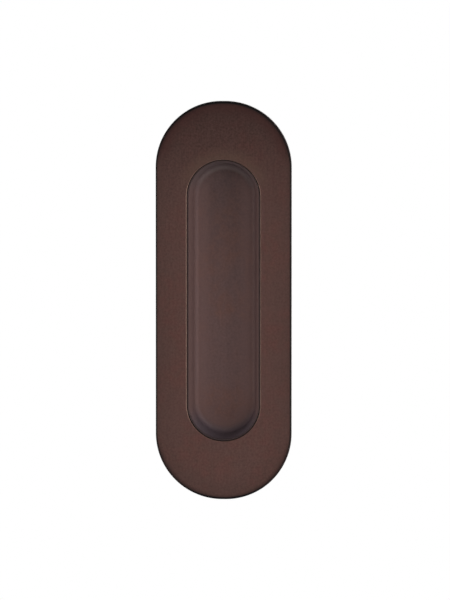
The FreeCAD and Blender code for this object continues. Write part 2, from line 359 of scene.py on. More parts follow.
def circle(radius: float, y: float, z: float, count: int = CIRCLE_STEPS) -> list[Vector]:
    """Points of a circle about a line along Y at height z."""
    angles = [2 * math.pi * step / count for step in range(count)]
    return [Vector((radius * math.cos(a), y, z + radius * math.sin(a))) for a in angles]


Ring = list[bmesh.types.BMVert]


class Shell:
    """A mesh in the making: rings of points, with faces between them and inside them."""

    def __init__(self) -> None:
        """Starts empty."""
        self.mesh = bmesh.new()

    def ring(self, points: Iterable[Vector]) -> Ring:
        """Adds the points of a closed ring."""
        return [self.mesh.verts.new(point) for point in points]

    def sweep(
        self,
        outline: Outline,
        points: Iterable[Vector],
        marks: Sequence[float],
        press: Callable[[Vector], Vector] | None = None,
    ) -> list[Ring]:
        """Adds the rings of a section that runs round an outline.

        Args:
            outline: the outline.
            points: the section, each point an inset and a place along Y.
            marks: where the straight sides have points.
            press: moves a ring's point to where it is pressed, if some are.

        Returns:
            A ring for each point of the section.
        """
        rings = []
        for inset, y in points:
            places = outline.ring(inset, y, marks)
            rings.append(self.ring(map(press, places) if press else places))
        return rings

    def bridge(self, rings: Sequence[Ring], skin: Skin = Skin.FACE) -> None:
        """Puts faces between rings with as many points each.

        Args:
            rings: the rings, in order.
            skin: the finish of the faces.
        """
        for first, second in zip(rings, rings[1:]):
            count = len(first)
            for here in range(count):
                after = (here + 1) % count
                corners = (first[here], first[after], second[after], second[here])
                self.mesh.faces.new(corners).material_index = skin

    def fill(self, border: Ring, holes: Sequence[Ring] = (), skin: Skin = Skin.FACE) -> None:
        """Fills a flat ring, whose points at the same place count once.

        Args:
            border: the ring.
            holes: rings inside it that stay open.
            skin: the finish of the faces.
        """
        loops = []
        for loop in (border, *holes):
            before = loop[-1:] + loop[:-1]
            apart = [(v, u) for v, u in zip(loop, before) if (v.co - u.co).length > SAME_PLACE]
            loops.append([v for v, _ in apart])
        corners = [vert for loop in loops for vert in loop]
        for triangle in tessellate_polygon([[vert.co for vert in loop] for loop in loops]):
            self.mesh.faces.new([corners[number] for number in triangle]).material_index = skin

    def piece(self, name: str, finishes: Sequence[bpy.types.Material]) -> bpy.types.Object:
        """Closes the mesh and makes it an object.

        Args:
            name: the object's name.
            finishes: its materials, in the order of the skins.

        Returns:
            The object, smooth but for its sharp edges.
        """
        bmesh.ops.remove_doubles(self.mesh, verts=self.mesh.verts, dist=SAME_PLACE)
        bmesh.ops.dissolve_degenerate(self.mesh, edges=self.mesh.edges, dist=SAME_PLACE)
        bmesh.ops.recalc_face_normals(self.mesh, faces=self.mesh.faces)
        data = bpy.data.meshes.new(name)
        self.mesh.to_mesh(data)
        self.mesh.free()
        for finish in finishes:
            data.materials.append(finish)
        data.shade_smooth()
        data.set_sharp_from_angle(angle=SHARP_ANGLE)
        piece = bpy.data.objects.new(name, data)
        bpy.context.scene.collection.objects.link(piece)
        even = piece.modifiers.new("even_normals", "WEIGHTED_NORMAL")
        even.keep_sharp = True
        return piece


# Finishes, with painted light and shade


@dataclass(frozen=True)
class Rim:
    """A line of painted light or painted shade that follows a plain round-ended outline on the front.

    Attributes:
        outline: the outline.
        start: how far inside it the line begins; outside it where this is below 0.
        full: how far inside it the line has its full strength.
        colour: its colour there.
        sides: how much of the colour shows along the straight sides.
        top: how much of it shows at the upper end.
        bottom: how much of it shows at the lower end.
        run: the height over which the share of the sides turns into that of an end.
    """

    outline: Outline
    start: float
    full: float
    colour: Colour
    sides: float = 1.0
    top: float = 1.0
    bottom: float = 1.0
    run: float = 10 * MM

    def share(self, across: Wire, up: Wire, front: Wire) -> Wire:
        """How much of the line's colour shows.

        Args:
            across: the place along X.
            up: the place along Z.
            front: 1 where lines show at all, and 0 further back.

        Returns:
            The share, from 0 to 1.
        """
        radius = self.outline.width / 2
        end = self.outline.straight
        reach = (across * across + abs(up).over(end) ** 2) ** 0.5
        above = up.rise(end, end + self.run) * (self.top - self.sides)
        below = up.rise(-end, -end - self.run) * (self.bottom - self.sides)
        line = reach.rise(radius - self.start, radius - self.full)
        return (above + below + self.sides) * front * line


@dataclass(frozen=True)
class SatinMetal:
    """A satin finish on metal, faintly mottled and brushed, with painted light and shade laid over it.

    Attributes:
        name: the material's name.
        colour: the main colour.
        warm: the redder colour between the clouds.
        cool: the greyer colour of the patches.
        edge: the colour of the parts that don't face the front, a painted shading that stands in for
            how light falls on them.
        dark: the colour of the darkest flecks and of the painted shade at the upper end.
        cool_share: how much of the cool colour shows in the patches.
        turned_shading_share: how much of the edge colour's painted shading shows on those parts.
        dark_share: how much of the dark colour shows everywhere.
        turn: how far from facing the front the edge colour begins and is full.
        roughness: the mean roughness.
        cloud_roughness: how much rougher the clouds are.
        fleck_roughness: how much rougher the flecks are.
        metallic: how metallic it is.
        specular: how strongly the rest mirrors.
        cloud: the width of the clouds.
        cloud_range: where their noise begins to show and is full.
        patch_ratio: how many times wider the patches are than the clouds.
        patch_range: where their noise begins to show and is full.
        grain: the width of the grain.
        grain_height: the height of the grain.
        relief: how strongly the grain shows as relief.
        brush: the width of the upright brush lines.
        brush_ratio: how many times longer than wide they are.
        brushing: how strongly they show beside the grain.
        mottling: how strongly the flecks show.
        top_shade: how much darker the upper end is painted, a painted shade.
        top_shade_start: the height where that painted shade begins.
        top_shade_end: the height where it would be full.
        painted_lines: lines of painted light and shade along outlines, laid over each other in order.
        painted_lines_end: the lines show only in front of this place along Y.
        painted_lines_fade: the depth over which they fade there.
    """

    name: str
    colour: Colour
    warm: Colour
    cool: Colour
    edge: Colour
    dark: Colour = (0.016, 0.007, 0.006)
    cool_share: float = 0.75
    turned_shading_share: float = 0.8
    dark_share: float = 0.12
    turn: tuple[float, float] = (0.1, 0.6)
    roughness: float = 0.58
    cloud_roughness: float = 0.05
    fleck_roughness: float = 0.12
    metallic: float = 0.3
    specular: float = 0.12
    cloud: float = 3 * MM
    cloud_range: tuple[float, float] = (0.3, 0.7)
    patch_ratio: float = 4.3
    patch_range: tuple[float, float] = (0.35, 0.65)
    grain: float = 0.8 * MM
    grain_height: float = 0.006 * MM
    relief: float = 0.6
    brush: float = 0.6 * MM
    brush_ratio: float = 20.0
    brushing: float = 0.3
    mottling: float = 0.75
    top_shade: float = 0.0
    top_shade_start: float = 25 * MM
    top_shade_end: float = 88 * MM
    painted_lines: tuple[Rim, ...] = ()
    painted_lines_end: float = 1.0
    painted_lines_fade: float = 0.2 * MM

    def material(self) -> bpy.types.Material:
        """Builds the finish.

        Returns:
            The material.
        """
        material = bpy.data.materials.new(self.name)
        material.use_nodes = True
        paint = Paint(material.node_tree)
        coordinates = paint.node("ShaderNodeTexCoord")
        place = coordinates.outputs["Object"]
        across, depth, up = paint.axes(place)
        facing = abs(paint.axes(coordinates.outputs["Normal"])[1])

        clouds = paint.noise(place, self.cloud).rise(*self.cloud_range)
        patches = paint.noise(place, self.patch_ratio * self.cloud, detail=2.0).rise(*self.patch_range)
        drawn_out = paint.stretched(place, (1.0, 1.0, 1 / self.brush_ratio))
        lines = paint.noise(drawn_out, self.brush)
        grain = paint.noise(place, self.grain)
        fleck = (lines - 0.5) * self.brushing + (grain - 0.5)

        tinted = paint.blend(clouds, self.warm, self.colour)
        tinted = paint.blend(self.cool_share * patches, tinted, self.cool)
        # Painted shade: the upper end is painted darker, growing towards the top.
        top_shade = self.top_shade * up.rise(self.top_shade_start, self.top_shade_end) ** 2
        tinted = paint.blend(self.dark_share + self.mottling * fleck + top_shade, tinted, self.dark)
        # Painted shading: the parts that turn away from the front take the edge colour, which stands in
        # for the light that falls on them.
        tinted = paint.blend(self.turned_shading_share * (1 - facing).rise(*self.turn), tinted, self.edge)
        # Painted light and shade: lines along outlines, laid over each other.
        front = depth.rise(self.painted_lines_end, self.painted_lines_end - self.painted_lines_fade)
        for rim in self.painted_lines:
            tinted = paint.blend(rim.share(across, up, front), tinted, rim.colour)

        rough = self.roughness + (clouds - 0.5) * self.cloud_roughness + fleck * self.fleck_roughness
        height = grain + lines * self.brushing
        sockets = {"Strength": self.relief, "Distance": self.grain_height, "Height": height}
        bump = paint.node("ShaderNodeBump", sockets=sockets)
        shader = paint.node(
            "ShaderNodeBsdfPrincipled",
            sockets={
                "Base Color": tinted,
                "Metallic": self.metallic,
                "Roughness": rough,
                "Specular IOR Level": self.specular,
                "Normal": bump.outputs[0],
            },
        )
        paint.node("ShaderNodeOutputMaterial", sockets={"Surface": shader.outputs[0]})
        return material


# The pull


@dataclass(frozen=True)
class Recess:
    """The sizes that the body and the cup share.

    Attributes:
        width: the opening's width in the plate's front.
        length: the opening's length.
        draft: how far the walls lean.
        gap: the seam between the cup and the body.
        setback: how far the cup's lip stands behind the plate's front.
        sheet: the thickness of the cup.
        depth: from the plate's front to the cup's floor.
        floor_radius: how round the cup's wall turns into its floor, inside.
        dimple_depth: from the plate's front to the middle of the dimples.
        dimple_height: how far a dimple stands out.
        dimple_radius: half the width of a dimple's foot.
        slot_side: half the width of the slot that a dimple clicks into.
        slot_depth: how deep the slot is cut into the wall.
        slot_run: how much wider the slot is at its mouth, on each side.
        front: the place of the plate's front along Y.
    """

    width: float = 27.8 * MM
    length: float = 106.2 * MM
    draft: float = math.radians(11)
    gap: float = 0.15 * MM
    setback: float = 0.2 * MM
    sheet: float = 0.5 * MM
    depth: float = 9.5 * MM
    floor_radius: float = 2.0 * MM
    dimple_depth: float = 4.6 * MM
    dimple_height: float = 0.3 * MM
    dimple_radius: float = 0.95 * MM
    slot_side: float = 1.01 * MM
    slot_depth: float = 0.3 * MM
    slot_run: float = 0.01 * MM
    front: float = field(default_factory=lambda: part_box("pull_body")[0].y)

    @property
    def slope(self) -> float:
        """How much a wall leans for each metre of depth."""
        return math.tan(self.draft)

    @property
    def lean(self) -> Vector:
        """The way a wall runs towards the back in a section, with length 1."""
        return Vector((math.sin(self.draft), math.cos(self.draft)))

    @property
    def floor(self) -> float:
        """The place of the cup's floor along Y."""
        return self.front + self.depth

    @property
    def seat(self) -> float:
        """The place along Y where the cup rests on the tub's floor."""
        return self.floor + self.sheet

    @property
    def back_radius(self) -> float:
        """How round the cup's wall turns into its floor, outside."""
        return self.floor_radius + self.sheet

    @property
    def dimple(self) -> float:
        """The place of the dimples along Y."""
        return self.front + self.dimple_depth

    @property
    def outline(self) -> Outline:
        """The opening in the plate's front."""
        return Outline(self.width, self.length)

    def levels(self) -> list[float]:
        """Picks where the walls need points for the dimples and slots.

        Returns:
            The places along Y.
        """
        rows = range(-DIMPLE_STEPS - 1, DIMPLE_STEPS + 2)
        steps = [self.dimple_radius * row / DIMPLE_STEPS for row in rows]
        for side in (-self.slot_side, self.slot_side):
            steps += [side, side + math.copysign(self.slot_run, side)]
        return [self.dimple + step for step in steps]

    def marks(self) -> list[float]:
        """Picks where straight sides have points: evenly, and closely at the dimples and slots.

        Returns:
            The points, from -1 at a side's lower end to 1.
        """
        even = [step / SIDE_STEPS for step in range(-SIDE_STEPS, SIDE_STEPS + 1)]
        straight = self.outline.straight
        return sorted({*even, *((level - self.dimple) / straight for level in self.levels())})


@dataclass
class PullBody:
    """The cast face plate with its tub.

    Attributes:
        recess: the sizes that it shares with the cup.
        end_flat: the flat in the middle of each end of the plate.
        tip_width: the width of a blunter outline, which meets the plate's at the tips and guides the
            painted shade there.
        edge_radius: how round the plate's front edge is.
        back_edge_radius: how round its back edge is.
        opening_radius: how round the opening's edge is.
        lines_depth: how far behind the front the painted lines of light and shade reach.
        margin: the strip of flat face that goes with each edge.
        tub_wall: the thickness of the tub's wall.
        tub_bevel: the bevel round the tub's back.
        tub_round: how round that bevel's edges are.
        root_radius: how round the tub meets the plate.
        screw_height: how far above and below the middle the screws sit.
        seat_radius: the radius of a screw's seat at the tub's floor.
        hole_radius: the radius of a screw's hole.
    """

    recess: Recess
    end_flat: float = 1.4 * MM
    tip_width: float = 60.0 * MM
    edge_radius: float = 0.6 * MM
    back_edge_radius: float = 0.2 * MM
    opening_radius: float = 0.32 * MM
    lines_depth: float = 0.75 * MM
    margin: float = 2.0 * MM
    tub_wall: float = 1.8 * MM
    tub_bevel: float = 3.0 * MM
    tub_round: float = 0.7 * MM
    root_radius: float = 0.9 * MM
    screw_height: float = 35.0 * MM
    seat_radius: float = 4.0 * MM
    hole_radius: float = 2.0 * MM

    @property
    def plate(self) -> Outline:
        """The face plate's outline, as large as the solid's."""
        low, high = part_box("pull_body")
        return Outline(high.x - low.x, high.z - low.z, self.end_flat)

    def painted_lines(self) -> tuple[Rim, ...]:
        """The painted lines of light and shade on the plate.

        Returns:
            The lines: painted shade towards the plate's outline and at its tips, and round the opening
                a lighter band above its upper end, a painted highlight on its eased edge and painted
                shade in the seam.
        """
        face = Outline(self.plate.width, self.plate.length)
        tips = Outline(self.tip_width, self.plate.length)
        opening = self.recess.outline
        outer_shade: Colour = (0.030, 0.018, 0.015)
        top_end_shade: Colour = (0.038, 0.010, 0.009)
        outline_shade: Colour = (0.012, 0.006, 0.005)
        tan: Colour = (0.092, 0.056, 0.040)
        edge_highlight: Colour = (0.225, 0.140, 0.110)
        return (
            # Painted shade: darker towards the plate's outline, more at the ends.
            Rim(face, 10.5 * MM, -0.5 * MM, outer_shade, sides=0.2, top=0.3, bottom=0.3),
            # Painted shade at the plate's upper end.
            Rim(face, 6.5 * MM, 0.5 * MM, top_end_shade, sides=0.0, top=0.5, bottom=0.0),
            # Painted shade close to the outline, most at the ends.
            Rim(face, 2.1 * MM, 0.3 * MM, outline_shade, sides=0.15, top=0.6, bottom=0.6),
            # Painted shade on the rolled outer edge.
            Rim(face, 0.75 * MM, 0.4 * MM, EDGE_SHADE, sides=1.0, top=0.8, bottom=0.6),
            # Painted shade at the tips.
            Rim(tips, 1.0 * MM, 0.6 * MM, EDGE_SHADE, sides=0.0, top=1.0, bottom=1.0),
            # Painted light: a lighter band above the opening's upper end.
            Rim(opening, -6.1 * MM, -0.7 * MM, tan, sides=0.0, top=0.35, bottom=0.0),
            # Painted highlight on the opening's eased edge.
            Rim(opening, -0.23 * MM, -0.13 * MM, edge_highlight, sides=1.0, top=0.2, bottom=0.2),
            # Painted shade in the seam round the cup.
            Rim(opening, -0.05 * MM, 0.05 * MM, SEAM_SHADE, sides=1.0, top=0.4, bottom=1.0),
        )

    def finishes(self) -> list[bpy.types.Material]:
        """Makes the plate's finish and that of its rough back.

        Returns:
            The materials, in the order of the skins.
        """
        face = SatinMetal(
            name="dark_bronze_plate",
            colour=(0.087, 0.044, 0.0365),
            warm=(0.095, 0.042, 0.0355),
            cool=(0.085, 0.045, 0.0385),
            edge=(0.085, 0.048, 0.039),
            top_shade=0.62,
            top_shade_start=0.0,
            painted_lines=self.painted_lines(),
            painted_lines_end=self.recess.front + self.lines_depth,
        )
        casting = SatinMetal(
            name="dark_bronze_casting",
            colour=(0.070, 0.040, 0.032),
            warm=(0.082, 0.043, 0.032),
            cool=(0.058, 0.038, 0.032),
            edge=(0.100, 0.060, 0.048),
            roughness=0.66,
            grain=0.7 * MM,
            grain_height=0.12 * MM,
            mottling=0.6,
            brushing=0.0,
        )
        return [face.material(), casting.material()]

    def tub(self, back: float) -> tuple[Outline, list[Vector]]:
        """The outside of the tub, from its back to the plate.

        Args:
            back: the place of the tub's back along Y.

        Returns:
            The tub's outline at the plate's back, and its section.
        """
        recess = self.recess
        side = self.tub_wall / math.cos(recess.draft) + recess.front * recess.slope
        foot = Vector((back * recess.slope, back))
        corners = [
            Corner(foot.x + 2 * self.tub_bevel, back),
            Corner(foot.x + self.tub_bevel, back, self.tub_round),
            Corner(*(foot - self.tub_bevel * recess.lean), self.tub_round),
            Corner(0, 0, self.root_radius),
            Corner(-self.margin, 0),
        ]
        return Outline(recess.width + 2 * side, recess.length + 2 * side), section(corners)

    def edge(self) -> list[Vector]:
        """The section of the plate's edge, from its back to its front.

        Returns:
            The section, whose insets are from the plate's outline.
        """
        front = self.recess.front
        corners = [
            Corner(self.margin, 0),
            Corner(0, 0, self.back_edge_radius),
            Corner(0, front, self.edge_radius),
            Corner(self.margin, front),
        ]
        return section(corners)

    def cavity(self) -> list[Vector]:
        """The section of the opening and of the tub's inside.

        The bevel round the tub's floor clears the cup's turn by the seam.

        Returns:
            The section, from the plate's front to the tub's floor.
        """
        recess = self.recess
        foot = Vector((recess.slope * (recess.seat - recess.front), recess.seat))
        half_corner = (math.pi / 2 + recess.draft) / 2
        reach = recess.back_radius * (1 / math.sin(half_corner) - 1)
        bevel = (reach - recess.gap) / math.cos(half_corner)
        corners = [
            Corner(-self.margin, recess.front),
            Corner(0, recess.front, self.opening_radius),
            Corner(*(foot - bevel * recess.lean)),
            Corner(foot.x + bevel, recess.seat),
            Corner(foot.x + 2 * bevel, recess.seat),
        ]
        return section(corners, recess.levels())

    def slotted(self, point: Vector) -> Vector:
        """Cuts the slots that the dimples click into.

        Args:
            point: a point of the cavity's wall.

        Returns:
            The point, moved out to the bottom of a slot if it lies in one.
        """
        recess = self.recess
        if max(abs(point.z), abs(point.y - recess.dimple)) > recess.slot_side + SAME_PLACE:
            return point
        reach = recess.width / 2 - recess.dimple_depth * recess.slope + recess.slot_depth
        return Vector((math.copysign(reach, point.x), point.y, point.z))

    def screw_holes(self, shell: Shell, back: float) -> tuple[list[Ring], list[Ring]]:
        """Adds the countersunk holes in the tub's floor.

        Args:
            shell: the mesh to add to.
            back: the place of the tub's back along Y.

        Returns:
            The holes' rings in the tub's floor, and those in its back.
        """
        seat = self.recess.seat
        throat = seat + self.seat_radius - self.hole_radius
        bores = ((self.seat_radius, seat), (self.hole_radius, throat), (self.hole_radius, back))
        seats, exits = [], []
        for height in (self.screw_height, -self.screw_height):
            hole = [shell.ring(circle(radius, y, height)) for radius, y in bores]
            shell.bridge(hole, Skin.CASTING)
            seats.append(hole[0])
            exits.append(hole[-1])
        return seats, exits

    def build(self) -> bpy.types.Object:
        """Builds the body.

        Returns:
            The piece, which stands for the solid of the same name.
        """
        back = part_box("pull_body")[1].y
        marks = self.recess.marks()
        shell = Shell()
        rear = shell.sweep(*self.tub(back), marks)
        rim = shell.sweep(self.plate, self.edge(), marks)
        cavity = shell.sweep(self.recess.outline, self.cavity(), marks, self.slotted)
        shell.bridge([*rear, rim[0]], Skin.CASTING)
        shell.bridge([*rim, *cavity])
        seats, exits = self.screw_holes(shell, back)
        shell.fill(cavity[-1], seats)
        shell.fill(rear[0], exits, Skin.CASTING)
        piece = shell.piece("dressed_pull_body", self.finishes())
        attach(piece, "root")
        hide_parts("pull_body")
        return piece


@dataclass
class FingerCup:
    """The thin drawn cup that lines the recess.

    Attributes:
        recess: the sizes that it shares with the body.
        lip_radius: how round the lip's edges are.
        margin: the strip of flat floor that goes with its turn.
    """

    recess: Recess
    lip_radius: float = 0.22 * MM
    margin: float = 1.5 * MM

    def painted_lines(self) -> tuple[Rim, ...]:
        """The painted lines of light and shade on the cup.

        Returns:
            The lines, from the floor's edge out to the lip.
        """
        opening = self.recess.outline
        floor_light: Colour = (0.160, 0.094, 0.086)
        lower_wall_shade: Colour = (0.074, 0.056, 0.072)
        turn_highlight: Colour = (0.125, 0.095, 0.091)
        turn_shade: Colour = (0.060, 0.040, 0.042)
        lip_shade: Colour = (0.035, 0.022, 0.020)
        return (
            # Painted light on the floor near its turn, at the sides and the lower end.
            Rim(opening, 9.9 * MM, 4.9 * MM, floor_light, sides=0.4, top=0.0, bottom=0.5),
            # Painted shade, bluish, on the wall of the lower end.
            Rim(opening, 5.3 * MM, 1.6 * MM, lower_wall_shade, sides=0.0, top=0.1, bottom=1.0),
            # Painted highlight on the turn, most at the upper end.
            Rim(opening, 5.1 * MM, 4.1 * MM, turn_highlight, sides=0.0, top=0.6, bottom=0.3),
            # Painted shade where the wall turns into the floor, most at the upper end.
            Rim(opening, 3.9 * MM, 2.9 * MM, turn_shade, sides=0.28, top=0.55, bottom=0.0),
            # Painted shade just below the lip.
            Rim(opening, 0.95 * MM, 0.75 * MM, lip_shade, sides=0.7, top=0.8, bottom=0.8),
            # Painted shade in the seam.
            Rim(opening, 0.45 * MM, 0.3 * MM, SEAM_SHADE, sides=1.0, top=0.4, bottom=1.0),
        )

    def finish(self) -> SatinMetal:
        """Chooses the cup's finish, a little greyer than the plate's and painted lighter, which makes
        up for the shade in the recess.

        Returns:
            The finish.
        """
        return SatinMetal(
            name="dark_bronze_cup",
            # Painted light: the cup's colours are lighter than the plate's to make up for the shade in
            # the recess.
            colour=(0.130, 0.073, 0.066),
            warm=(0.142, 0.073, 0.061),
            cool=(0.123, 0.074, 0.070),
            edge=(0.114, 0.066, 0.059),
            dark=(0.022, 0.017, 0.018),
            roughness=0.60,
            metallic=0.18,
            mottling=0.45,
            top_shade=0.72,
            top_shade_start=-35 * MM,
            painted_lines=self.painted_lines(),
        )

    def profile(self) -> list[Vector]:
        """The cup's section, from the middle of its back over the lip to the middle of its floor.

        Returns:
            The section, whose insets are from the lip's outline.
        """
        recess = self.recess
        lip = recess.front + recess.setback
        sheet = recess.sheet / math.cos(recess.draft)
        outer = recess.slope * (recess.seat - lip)
        inner = sheet + recess.slope * (recess.floor - lip)
        corners = [
            Corner(outer + recess.back_radius + self.margin, recess.seat),
            Corner(outer, recess.seat, recess.back_radius),
            Corner(0, lip, self.lip_radius),
            Corner(sheet, lip, self.lip_radius),
            Corner(inner, recess.floor, recess.floor_radius),
            Corner(inner + recess.floor_radius + self.margin, recess.floor),
        ]
        return section(corners, recess.levels())

    def pressed(self, point: Vector) -> Vector:
        """Presses the dimples out of the long walls.

        Args:
            point: a point of the cup.

        Returns:
            The point, moved out if it lies in a dimple.
        """
        recess = self.recess
        share = math.hypot(point.z, point.y - recess.dimple) / recess.dimple_radius
        if share >= 1:
            return point
        height = recess.dimple_height * (1 - share**2) ** 2
        return point + Vector((math.copysign(height, point.x), 0, 0))

    def build(self) -> bpy.types.Object:
        """Builds the cup.

        Returns:
            The piece, which stands for the solid of the same name.
        """
        recess = self.recess
        inset = recess.gap + recess.setback * recess.slope
        outline = Outline(recess.width - 2 * inset, recess.length - 2 * inset)
        shell = Shell()
        rings = shell.sweep(outline, self.profile(), recess.marks(), self.pressed)
        shell.bridge(rings)
        shell.fill(rings[0])
        shell.fill(rings[-1])
        piece = shell.piece("dressed_finger_cup", [self.finish().material()])
        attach(piece, "root")
        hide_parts("finger_cup")
        return piece


@dataclass
class WoodScrew:
    """A countersunk wood screw with a cross recess and a cut thread, pointing at the back.

    Attributes:
        node: the solid that it stands for.
        head_radius: the head's radius.
        head_land: the height of the head's upright edge.
        head_ease: how much that edge is eased at the face.
        neck_radius: the radius between the head and the thread.
        thread_radius: the thread's outer radius.
        thread_start: from the head's face to the thread.
        point_length: how long the point is.
        tip_radius: the radius at the tip.
        pitch: how far the thread goes on in a turn.
        core_share: the core's radius as a share of the thread's.
        ridge_share: half the width of the thread's ridge as a share of the pitch.
        fade_share: how much of a turn the ridge takes to rise or run out.
        cross_reach: half the length of the cross recess.
        cross_side: half the width of its arms.
        cross_depth: its depth.
        cross_narrowing: how much smaller it is at its bottom, on each side.
        turn_rows: rows of points in a turn of the thread.
        columns: points round the screw.
    """

    node: str
    head_radius: float = 3.4 * MM
    head_land: float = 0.25 * MM
    head_ease: float = 0.08 * MM
    neck_radius: float = 1.5 * MM
    thread_radius: float = 1.75 * MM
    thread_start: float = 2.7 * MM
    point_length: float = 2.6 * MM
    tip_radius: float = 0.15 * MM
    pitch: float = 1.4 * MM
    core_share: float = 0.7
    ridge_share: float = 0.24
    fade_share: float = 0.6
    cross_reach: float = 2.0 * MM
    cross_side: float = 0.55 * MM
    cross_depth: float = 1.5 * MM
    cross_narrowing: float = 0.32 * MM
    turn_rows: int = 14
    columns: int = CIRCLE_STEPS

    def finish(self) -> SatinMetal:
        """Chooses the finish of darkened brass.

        Returns:
            The finish.
        """
        return SatinMetal(
            name=f"{self.node}_brass",
            colour=(0.160, 0.100, 0.060),
            warm=(0.185, 0.105, 0.058),
            cool=(0.120, 0.085, 0.060),
            edge=(0.260, 0.175, 0.105),
            roughness=0.36,
            cloud=1.5 * MM,
            grain=0.1 * MM,
            grain_height=0.002 * MM,
            mottling=0.3,
            brushing=0.1,
        )

    def cross(self, y: float, z: float, narrowing: float) -> list[Vector]:
        """The outline of the cross recess.

        Args:
            y: its place along Y.
            z: the height of its middle.
            narrowing: how much smaller it is than at the head's face.

        Returns:
            Its twelve corners.
        """
        reach, side = self.cross_reach - narrowing, self.cross_side - narrowing
        quarter = [(reach, side), (side, side), (side, reach)]
        points = []
        for right, up in ((1, 1), (-1, 1), (-1, -1), (1, -1)):
            arm = [(right * across, up * along) for across, along in quarter]
            points += arm if right == up else arm[::-1]
        return [Vector((across, y, z + along)) for across, along in points]

    def envelope(self, left: float) -> float:
        """The thread's outer radius, which narrows over the point, where so much length is left."""
        share = min(1.0, left / self.point_length)
        return self.tip_radius + share * (self.thread_radius - self.tip_radius)

    def thread(self, shell: Shell, top: float, z: float, length: float) -> Ring:
        """Adds the threaded shank, whose rows of points follow the thread.

        Args:
            shell: the mesh to add to.
            top: the place of the head's face along Y.
            z: the height of the screw.
            length: its length.

        Returns:
            The ring at the shank's start.
        """
        run = length - self.thread_start
        rows = math.ceil(self.turn_rows * (run / self.pitch + 1))
        grid = []
        for row in range(rows + 1):
            phase = row / self.turn_rows % 1
            ridge = max(0.0, 1 - min(phase, 1 - phase) / self.ridge_share)
            line = []
            for column in range(self.columns):
                turns = row / self.turn_rows + column / self.columns - 1
                down = self.thread_start + min(max(turns * self.pitch, 0), run)
                ends = min(down - self.thread_start, length - down)
                fade = min(1.0, ends / (self.fade_share * self.pitch))
                swell = self.core_share + (1 - self.core_share) * ridge * fade
                radius = self.envelope(length - down) * swell
                angle = 2 * math.pi * column / self.columns
                place = (radius * math.cos(angle), top + down, z + radius * math.sin(angle))
                line.append(shell.mesh.verts.new(place))
            grid.append(line)
        for row in range(rows):
            for column in range(self.columns):
                near, far = grid[row], grid[row + 1]
                after = column + 1
                if after == self.columns:
                    # Behind the last column comes the first one, a turn further down.
                    after = 0
                    near = grid[min(row + self.turn_rows, rows)]
                    far = grid[min(row + self.turn_rows + 1, rows)]
                corners = (grid[row][column], near[after], far[after], grid[row + 1][column])
                # Two corners can be one point at the last rows, and it counts once.
                shell.mesh.faces.new(dict.fromkeys(corners))
        shell.fill(grid[-1])
        return grid[0]

    def build(self) -> bpy.types.Object:
        """Builds the screw.

        Returns:
            The piece, which stands for its solid.
        """
        low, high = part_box(self.node)
        top, z = low.y, (low.z + high.z) / 2
        cone_end = self.head_land + self.head_radius - self.neck_radius
        turned = [
            (self.head_radius - self.head_ease, 0.0),
            (self.head_radius, self.head_ease),
            (self.head_radius, self.head_land),
            (self.neck_radius, cone_end),
            (self.neck_radius, self.thread_start),
        ]
        shell = Shell()
        rings = [shell.ring(circle(radius, top + down, z, self.columns)) for radius, down in turned]
        shell.bridge([*rings, self.thread(shell, top, z, high.y - top)])
        mouth = shell.ring(self.cross(top, z, 0.0))
        bed = shell.ring(self.cross(top + self.cross_depth, z, self.cross_narrowing))
        shell.bridge([mouth, bed])
        shell.fill(bed)
        shell.fill(rings[0], [mouth])
        piece = shell.piece(f"dressed_{self.node}", [self.finish().material()])
        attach(piece, "root")
        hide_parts(self.node)
        return piece


# Studio


def seen_from(azimuth: float, elevation: float) -> Vector:
    """The way to a place so many degrees right of straight in front and above the level."""
    turn, lift = math.radians(azimuth), math.radians(elevation)
    return Vector((math.sin(turn) * math.cos(lift), -math.cos(turn) * math.cos(lift), math.sin(lift)))


def aim(thing: bpy.types.Object, target: Vector) -> None:
    """Turns a camera or lamp towards a target and adds it to the scene."""
    thing.rotation_euler = (target - thing.location).to_track_quat("-Z", "Y").to_euler()
    bpy.context.scene.collection.objects.link(thing)


@dataclass(frozen=True)
class Softbox:
    """A square area lamp aimed at the pull.

    Attributes:
        name: the lamp's name.
        azimuth: degrees to the right of straight in front.
        elevation: degrees above the level.
        power: its strength in watts.
        distance: how far from the pull it hangs.
        size: its side.
    """

    name: str
    azimuth: float
    elevation: float
    power: float
    distance: float = 0.6
    size: float = 0.5

    def hang(self) -> None:
        """Adds the lamp."""
        light = bpy.data.lights.new(self.name, "AREA")
        light.shape = "SQUARE"
        light.size = self.size
        light.energy = self.power
        lamp = bpy.data.objects.new(self.name, light)
        lamp.visible_camera = False
        lamp.location = self.distance * seen_from(self.azimuth, self.elevation)
        aim(lamp, Vector())


